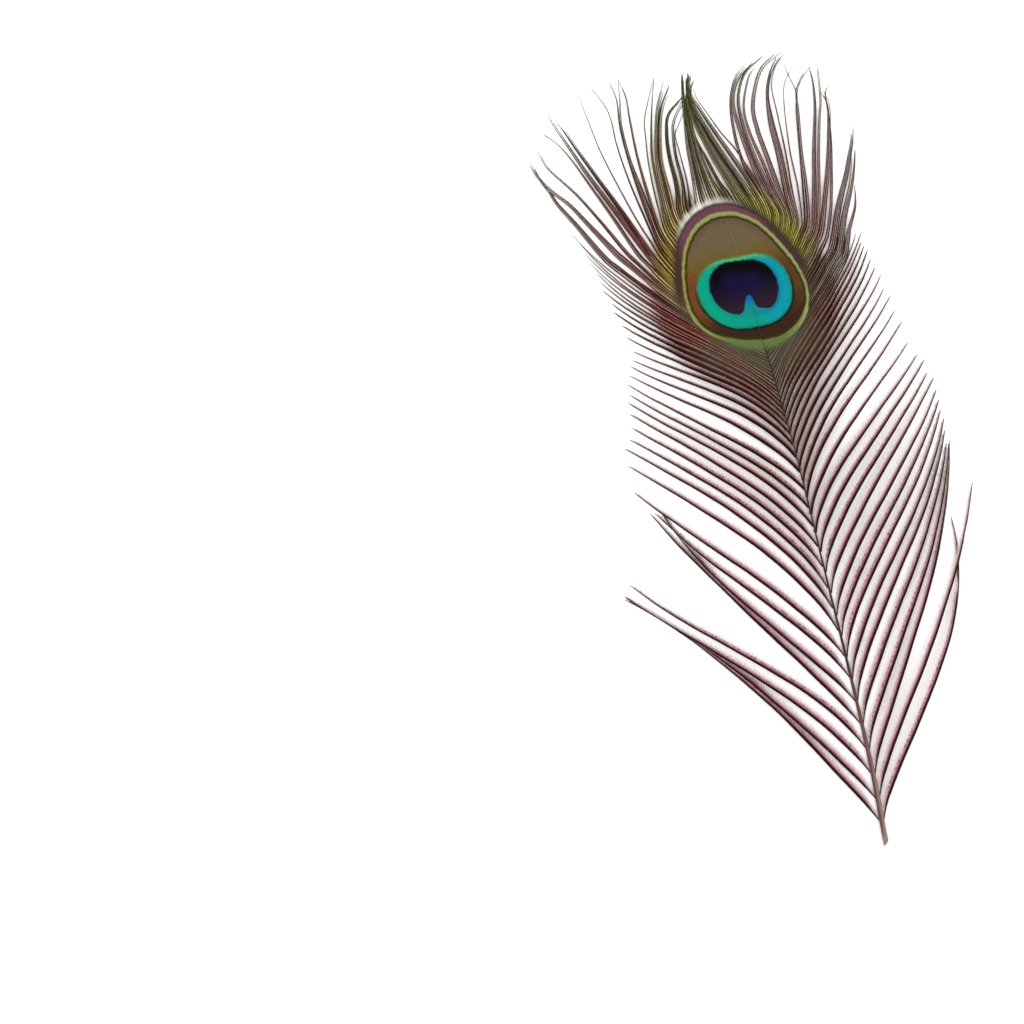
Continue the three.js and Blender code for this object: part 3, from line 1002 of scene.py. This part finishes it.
eyeColours = {
    "halo": "#faf7e6",
    "mauve": "#744756",
    "mauveRight": "#4c3830",
    "mauveLeft": "#483430",
    "mauveEdge": "#46342e",
    "green": "#9cac62",
    "greenLeft": "#a8a05a",
    "greenRight": "#a8ab76",
    "greenLow": "#687e48",
    "beard": "#5c5945",
    "greenInner": "#807c24",
    "outerLine": "#3c351a",
    "ringLine": "#34340e",
    "fieldTop": "#746548",
    "fieldRose": "#6a4e42",
    "fieldGold": "#75602c",
    "fieldLeft": "#7a4822",
    "fieldRight": "#644020",
    "fieldLow": "#3e2518",
    "rim": "#0f2012",
    "rimTop": "#5e7a3c",
    "turquoiseTop": "#5cb478",
    "turquoiseLeft": "#00b088",
    "turquoiseLow": "#00a88e",
    "turquoiseRight": "#02a2b2",
    "turquoiseEdge": "#129078",
    "heart": "#140e3e",
    "heartSide": "#160c2a",
    "heartTop": "#010108",
    "heartLow": "#2c1e2a",
    "heartRim": "#1674a4",
    "notch": "#0a6cc8",
}
# The areas of the eye: a first colour, then others laid on it, each with its strength and the stretches of
# measures over which it comes in. In mm there are x, y, high (over the field's middle), below (the notch's
# top), notch (inside it), past (the mauve band), and ring, inner, turquoise and heart (outside these
# outlines). From -1 to 1 there are up and right on the ring's round, and upOval on the oval's.
eyeAreas = {
    "field": (  # inside the ring: taupe above, then gold, rust at the sides, dark brown below
        "fieldLeft",
        ("fieldRight", 1, ("x", -8, 8)),
        ("fieldLow", 1, ("high", -7, -18)),
        ("fieldGold", 1, ("high", -1, 7)),
        ("fieldTop", 1, ("high", 5, 11)),
        ("fieldRose", 0.7, ("inner", -3.5, -0.5), ("up", 0.5, 0.9)),
        ("rimTop", 0.75, ("upOval", 0.3, 0.7), ("turquoise", 1, 0.1)),
        ("rim", 1, ("turquoise", 1.25, 0.3), ("upOval", 0.55, -0.25)),
    ),
    "turquoise": (  # greener on the left and at its edge, bluer on the right
        "turquoiseLeft",
        ("turquoiseLow", 1, ("x", -14, -4)),
        ("turquoiseRight", 1, ("x", 1, 8)),
        ("turquoiseEdge", 0.8, ("turquoise", -1.2, -0.1)),
        ("turquoiseTop", 1, ("turquoise", -1.3, -0.6), ("upOval", 0.6, 0.9)),
    ),
    "heart": (
        "heart",
        ("heartSide", 1, ("heart", -8.5, -3)),
        ("heartLow", 1, ("y", 184, 176.5)),
        ("heartTop", 1, ("heart", -5.5, -2), ("upOval", 0.1, 0.6)),
    ),
    "green": (
        "green",
        ("greenLeft", 1, ("right", -0.3, -0.9)),
        ("greenRight", 1, ("right", 0.3, 0.9)),
        ("greenLow", 1, ("up", -0.6, -0.95)),
        ("greenInner", 0.6, ("inner", 0.9, 0.2)),
    ),
    "mauve": (  # the band outside the ring, with a dark edge
        "mauve",
        ("mauveRight", 1, ("right", 0.35, 0.8)),
        ("mauveLeft", 1, ("right", -0.6, -0.9)),
        ("mauveEdge", 1, ("past", -1.3, -0.4)),
    ),
}
# Where areas, lines and glows show, or how far a change has come: all stretches multiplied
eyeShows = {
    "turquoise": [("turquoise", 0.3, -0.3)],
    "heart": [("heart", 0.35, -0.4)],
    "heartRim": [("heart", 1.6, 0.2), ("upOval", 0.9, 0.3)],
    "notch": [("notch", -0.35, 0.35), ("below", 0, 0.4)],
    "notchTip": [("below", 4.2, 0.8), ("heart", 0.3, -0.3)],
    "ringLine": [("inner", -0.85, -0.25)],
    "green": [("inner", -0.15, 0.5)],
    "outerLine": [("ring", -0.1, 0.45), ("up", -0.97, -0.8), ("up", 0.3, 0)],
    "bandWidens": [("up", 0.5, 0.9), ("right", 0.45, -0.1)],
    "upper": [("up", -0.4, 0.1)],
    "mauve": [("ring", -0.45, 0.3)],
    "halo": [("right", 0.35, -0.3), ("right", -0.75, -0.42), ("up", 0.3, 0.6)],
    "haloStart": [("past", -0.7, 0.6)],
    "fadeBelow": [("up", -0.86, -0.99)],
    "beard": [("ring", 14, 4), ("up", -0.5, -0.9)],
}
eyeShape = {
    "middle": 188,
    "stray": 0.24,  # mm by which the colours of barbs are not all in line
    "strayHigh": 6,  # times that for the height of the field's colours
    "heartRim": ((-3, 6), 0.3, 0.3),  # the rim of the heart grows from left to right: x, more, least
    "notch": {
        "top": 180.6,
        "x": -0.1,
        "slope": (1.15, -0.53),  # its flanks, on the left and how much that changes on the right
        "flare": (5.3, -0.4),  # mm below the top from where it flares out into the heart's two lobes
        "flarePower": 9,
    },
    "band": (0.9, 2.2),  # mm that the mauve band is wider above, and its least width
    "streak": (1.5, 0.1),  # mm that light barbs carry the halo farther out than dark ones
    "coverAbove": (1.9, -0.7),  # mm past the band over which the eye's colours end
    "coverBelow": (0.6, 1.4, -0.5),  # and past the ring elsewhere: more at the bottom, least, start
}


# Group: the colours of the eye by place, and how far they cover the barbs' own colours
def makeEyeGroup():
    tree, given, result = startGroup(
        "eyeColours", ["Position:Vector", "Tone"], ["Color:Color", "Cover", "Beard"]
    )
    stray = eyeShape["stray"]
    jitter = scaled(tree, given["Tone"], stray, -stray / 2)
    x, y = flatPlace(tree, given["Position"])
    high = calculate(tree, "SUBTRACT", y, eyeShape["middle"])
    measures = {"x": x, "y": y, "high": scaled(tree, jitter, eyeShape["strayHigh"], high)}
    angles = {}
    for name in ("ring", "inner", "turquoise", "heart"):
        outputs = outlineNode(tree, x, y, name)
        measures[name] = calculate(tree, "ADD", outputs["Distance"], jitter)
        angles[name] = outputs["Angle"]
    measures["up"] = calculate(tree, "SINE", angles["ring"])
    measures["right"] = calculate(tree, "COSINE", angles["ring"])
    measures["upOval"] = calculate(tree, "SINE", angles["turquoise"])

    def product(stretches):
        return times(tree, *[mask(tree, measures[name], low, high) for name, low, high in stretches])

    def area(name):
        first, *layers = eyeAreas[name]
        colour = paint(eyeColours[first])
        for layer, strength, *stretches in layers:
            share = product(stretches)
            if strength < 1:
                share = times(tree, share, strength)
            colour = mix(tree, share, colour, paint(eyeColours[layer]))
        return colour

    colour = mix(tree, product(eyeShows["turquoise"]), area("field"), area("turquoise"))

    # The notch flares out below into the heart's two lobes
    notch = eyeShape["notch"]
    onRight = calculate(tree, "GREATER_THAN", x, notch["x"])
    slope = scaled(tree, onRight, notch["slope"][1], notch["slope"][0])
    flareDepth = scaled(tree, onRight, notch["flare"][1], notch["flare"][0])
    below = calculate(tree, "MAXIMUM", calculate(tree, "SUBTRACT", notch["top"], y), 0)
    flare = calculate(tree, "POWER", calculate(tree, "DIVIDE", below, flareDepth), notch["flarePower"])
    width = scaled(tree, calculate(tree, "SQRT", below), slope, flare)
    aside = calculate(tree, "ABSOLUTE", calculate(tree, "SUBTRACT", x, notch["x"]))
    measures["below"] = below
    measures["notch"] = calculate(tree, "SUBTRACT", width, aside)
    inNotch = product(eyeShows["notch"])

    stretch, more, least = eyeShape["heartRim"]
    bluish = times(tree, product(eyeShows["heartRim"]), scaled(tree, mask(tree, x, *stretch), more, least))
    colour = mix(tree, bluish, colour, paint(eyeColours["heartRim"]))
    notchTip = times(tree, product(eyeShows["notchTip"]), inNotch)
    colour = mix(tree, notchTip, colour, paint(eyeColours["notch"]))
    inHeart = times(tree, product(eyeShows["heart"]), calculate(tree, "SUBTRACT", 1, inNotch))
    colour = mix(tree, inHeart, colour, area("heart"))

    # The green ring between dark lines
    colour = mix(tree, product(eyeShows["ringLine"]), colour, paint(eyeColours["ringLine"]))
    colour = mix(tree, product(eyeShows["green"]), colour, area("green"))
    colour = mix(tree, product(eyeShows["outerLine"]), colour, paint(eyeColours["outerLine"]))

    # The mauve band, wide above and gone below, and the pale halo over it, brightest left of the middle
    bandWidth = scaled(tree, product(eyeShows["bandWidens"]), *eyeShape["band"])
    measures["past"] = calculate(tree, "SUBTRACT", measures["ring"], bandWidth)
    upper = product(eyeShows["upper"])
    colour = mix(tree, times(tree, product(eyeShows["mauve"]), upper), colour, area("mauve"))
    halo = product(eyeShows["halo"])
    haloShare = times(tree, halo, product(eyeShows["haloStart"]))
    colour = mix(tree, haloShare, colour, paint(eyeColours["halo"]))
    feed(tree, result["Color"], colour)

    # The eye covers the band above and some of the halo's streaks, and fades out slowly at the bottom
    streak = times(tree, halo, scaled(tree, given["Tone"], *eyeShape["streak"]))
    pastStreak = calculate(tree, "SUBTRACT", measures["past"], streak)
    above = times(tree, mask(tree, pastStreak, *eyeShape["coverAbove"]), upper)
    more, least, start = eyeShape["coverBelow"]
    fadeEnd = scaled(tree, product(eyeShows["fadeBelow"]), more, least)
    below = mask(tree, measures["ring"], fadeEnd, start)
    feed(tree, result["Cover"], calculate(tree, "MAXIMUM", above, below))
    feed(tree, result["Beard"], product(eyeShows["beard"]))
    return tree


eyeGroup = makeEyeGroup()

# Places across a barb are shares of its width, from the dark side to the soft one
barbLook = {
    "noiseStretch": (1.2, 60),  # how the noise changes across a barb and from barb to barb
    "fine": (1.6, 3, 0.65),  # scale, detail and roughness
    "broad": (0.2, 2, 0.5),
    "flecks": (0.47, 0.6),  # the fine noise between these values turns into dark flecks
    "fleckShare": 0.65,
    "wobble": 0.24,  # by which the lines stray
    "darkTint": (0.36, 0.26, 0.25, 1),
    "broadShade": (1.5, 0.25),
    "toneShade": (0.4, -0.2),
    "besideLine": (0.3, 0.04),  # the shade beside the dark line ends and starts this far past it
    "besideShare": 0.85,
    "fuzz": (0.55, 1.1),
    "brokenEdge": ((0.62, 0.74), (1, 0.88)),  # a flecked line near the soft edge of the lighter barbs
    "brokenTone": (0.35, 0.7),
    "lineTint": 0.06,
    "lineEdge": (0.1, -0.06),  # the dark line itself ends between these, past its width
}


# Group: a barb's dark line (its dark stem and painted shade on the side that faces the base), its soft
# coloured side and the mottling of its barbules
def makeBarbGroup():
    look = barbLook
    tree, given, result = startGroup(
        "barbColours",
        ["Tint:Color", "Across", "Along", "Tone", "Line:Color", "Line Width", "Fuzz:Color", "Fuzz Share"],
        ["Color:Color", "Line Mask", "Mottle"],
    )
    tint, tone, lineWidth = given["Tint"], given["Tone"], given["Line Width"]
    acrossStretch, toneStretch = look["noiseStretch"]
    vector = combine(
        tree, given["Along"], times(tree, given["Across"], acrossStretch), times(tree, tone, toneStretch)
    )
    fine = noise(tree, vector, *look["fine"])
    mottle = mask(tree, fine, *look["flecks"])
    broad = noise(tree, vector, *look["broad"])
    wobble = scaled(tree, fine, look["wobble"], -look["wobble"] / 2)
    across = calculate(tree, "ADD", given["Across"], wobble)
    darkTint = mix(tree, 1, tint, look["darkTint"], "MULTIPLY")
    soft = mix(tree, times(tree, mottle, look["fleckShare"]), tint, darkTint)
    toneShade = scaled(tree, tone, *look["toneShade"])
    shade = calculate(tree, "ADD", scaled(tree, broad, *look["broadShade"]), toneShade)
    soft = mix(tree, 1, soft, combine(tree, shade, shade, shade), "MULTIPLY")
    farFromLine, nearLine = [calculate(tree, "ADD", lineWidth, past) for past in look["besideLine"]]
    beside = times(tree, mask(tree, across, farFromLine, nearLine), look["besideShare"])
    soft = mix(tree, beside, soft, darkTint)
    fuzz = times(tree, mask(tree, across, *look["fuzz"]), given["Fuzz Share"])
    soft = mix(tree, fuzz, soft, given["Fuzz"])
    brokenFrom, brokenTo = look["brokenEdge"]
    broken = times(
        tree,
        mask(tree, across, *brokenFrom),
        mask(tree, across, *brokenTo),
        mask(tree, tone, *look["brokenTone"]),
        mottle,
        given["Fuzz Share"],
    )
    soft = mix(tree, broken, soft, darkTint)
    # the dark line: the barb's dark stem and painted shade on the side that faces the base
    line = mix(tree, look["lineTint"], given["Line"], darkTint)
    outer, inner = [calculate(tree, "ADD", lineWidth, past) for past in look["lineEdge"]]
    edge = mask(tree, across, outer, inner)
    feed(tree, result["Color"], mix(tree, edge, soft, line))
    feed(tree, result["Line Mask"], edge)
    feed(tree, result["Mottle"], mottle)
    return tree


barbGroup = makeBarbGroup()

# The dark line is the barb's dark stem with painted shade on the side that faces the base. Its share of a
# barb's width is for barbs that stand close and for those that stand apart
barbFinish = {
    "loose_barbs": {
        "name": "barbKeratin",
        "line": "#1e0205",
        "lineWidth": (0.52, 0.42),
        "fuzz": "#f9e1e2",
        "fuzzShare": 0.9,
        "roughness": 0.6,
    },
    "eye_and_crown": {
        "name": "crownKeratin",
        "line": "#160403",
        "lineWidth": (0.42, 0.34),
        "fuzz": "#d9cfc6",
        "fuzzShare": 0.6,
        "roughness": 0.6,
    },
}
eyeFinish = {
    # the near-black laid on the eye for the lines between its barbs, their dark stems with painted shade
    # between them, and for the barbules' flecks
    "stemShadeAndFlecks": "#0b0908",
    "lineShare": 0.1,  # how dark the lines between the barbs are drawn in the eye
    "mottleShare": 0.12,  # and the flecks of its barbules
    "beardShare": 0.42,
    "shine": 0.04,
}


def makeBarbMaterial(finish):
    material, tree, shader, position = startMaterial(finish["name"])
    tone = attribute(tree, "tone")
    apart = attribute(tree, "open")
    narrow, wide = finish["lineWidth"]
    own = useGroup(
        tree,
        barbGroup,
        {
            "Tint": attribute(tree, "tint", "Color"),
            "Across": attribute(tree, "across"),
            "Along": attribute(tree, "along"),
            "Tone": tone,
            "Line": paint(finish["line"]),
            "Line Width": scaled(tree, apart, wide - narrow, narrow),
            "Fuzz": paint(finish["fuzz"]),
            "Fuzz Share": times(tree, apart, finish["fuzzShare"]),
        },
    )
    eye = useGroup(tree, eyeGroup, {"Position": position, "Tone": tone})
    # painted shade and dark stems in the lines between the barbs of the eye, then the barbules' flecks
    stemShadeAndFlecks = times(tree, own["Line Mask"], eyeFinish["lineShare"])
    stemShadeAndFlecks = scaled(tree, own["Mottle"], eyeFinish["mottleShare"], stemShadeAndFlecks)
    eyeColour = mix(tree, stemShadeAndFlecks, eye["Color"], paint(eyeFinish["stemShadeAndFlecks"]))
    beard = times(tree, eye["Beard"], eyeFinish["beardShare"])
    colour = mix(tree, beard, own["Color"], paint(eyeColours["beard"]))
    feed(tree, shader["Base Color"], mix(tree, eye["Cover"], colour, eyeColour))
    shader["Roughness"].default_value = finish["roughness"]
    shader["Specular IOR Level"].default_value = eyeFinish["shine"]
    return material


shaftFinish = {
    # painted shade on the shaft's left and a painted highlight on its right, across its round
    "left": "#5e3c32",
    "right": "#9a7c6c",
    "shadeToHighlight": (-0.55, 0.35),
    "cut": "#94806a",
    "cutTo": (0.5, 5),  # places over which the cut's colour turns into the next one
    "middle": "#6a4238",
    "middleFrom": (14, 40),
    "dark": "#2a1512",
    "darkFrom": (36, 66),
    "streak": "#2e1d17",
    "streakShare": 0.55,
    "streakNoise": (3500, 3, 0.6),  # scale, detail and roughness
    "streakStretch": 0.05,
    "streakFrom": (0.5, 0.75),  # noise between these values turns into dark streaks
    "pale": "#b09a86",
    "paleShare": 0.35,
    "paleFrom": (0.45, 0.25),  # and between these into pale ones
    "paleTo": (60, 20),
    "inEye": 0.5,  # how bright the ridge is beside the eye's own colours
    "bump": 0.3,
    "bumpDepth": 0.05,
    "roughness": 0.42,
    "shine": 0.3,
}


def makeShaftMaterial():
    finish = shaftFinish
    material, tree, shader, position = startMaterial("hornyShaft")
    y = flatPlace(tree, position)[1]
    # the shaft is painted darker on its left and lighter on its right: painted shade and a painted highlight
    sides = mask(tree, attribute(tree, "across"), *finish["shadeToHighlight"])
    base = mix(tree, sides, paint(finish["left"]), paint(finish["right"]))
    colour = mix(tree, mask(tree, y, *finish["cutTo"]), paint(finish["cut"]), base)
    colour = mix(tree, mask(tree, y, *finish["middleFrom"]), colour, paint(finish["middle"]))
    colour = mix(tree, mask(tree, y, *finish["darkFrom"]), colour, paint(finish["dark"]))
    stretched = tree.nodes.new("ShaderNodeMapping")
    stretched.inputs["Scale"].default_value = (1, finish["streakStretch"], 1)
    feed(tree, stretched.inputs["Vector"], position)
    streaks = noise(tree, stretched.outputs["Vector"], *finish["streakNoise"])
    darker = times(tree, mask(tree, streaks, *finish["streakFrom"]), finish["streakShare"])
    colour = mix(tree, darker, colour, paint(finish["streak"]))
    lower = mask(tree, y, *finish["paleTo"])
    paler = times(tree, mask(tree, streaks, *finish["paleFrom"]), lower, finish["paleShare"])
    colour = mix(tree, paler, colour, paint(finish["pale"]))
    eye = useGroup(tree, eyeGroup, {"Position": position, "Tone": 0.5})
    dim = finish["inEye"]
    ridge = mix(tree, 1, eye["Color"], (dim, dim, dim, 1), "MULTIPLY")
    feed(tree, shader["Base Color"], mix(tree, eye["Cover"], colour, ridge))
    bump = tree.nodes.new("ShaderNodeBump")
    bump.inputs["Strength"].default_value = finish["bump"]
    bump.inputs["Distance"].default_value = finish["bumpDepth"] * mm
    feed(tree, bump.inputs["Height"], streaks)
    feed(tree, shader["Normal"], bump.outputs["Normal"])
    shader["Roughness"].default_value = finish["roughness"]
    shader["Specular IOR Level"].default_value = finish["shine"]
    return material


pieces["shaft"].data.materials.append(makeShaftMaterial())
for part, finish in barbFinish.items():
    material = makeBarbMaterial(finish)
    for hand in ("left", "right"):
        pieces[f"{part}_{hand}"].data.materials.append(material)
print("materials made")

for piece in pieces.values():
    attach(piece, "root")
    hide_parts("feather")
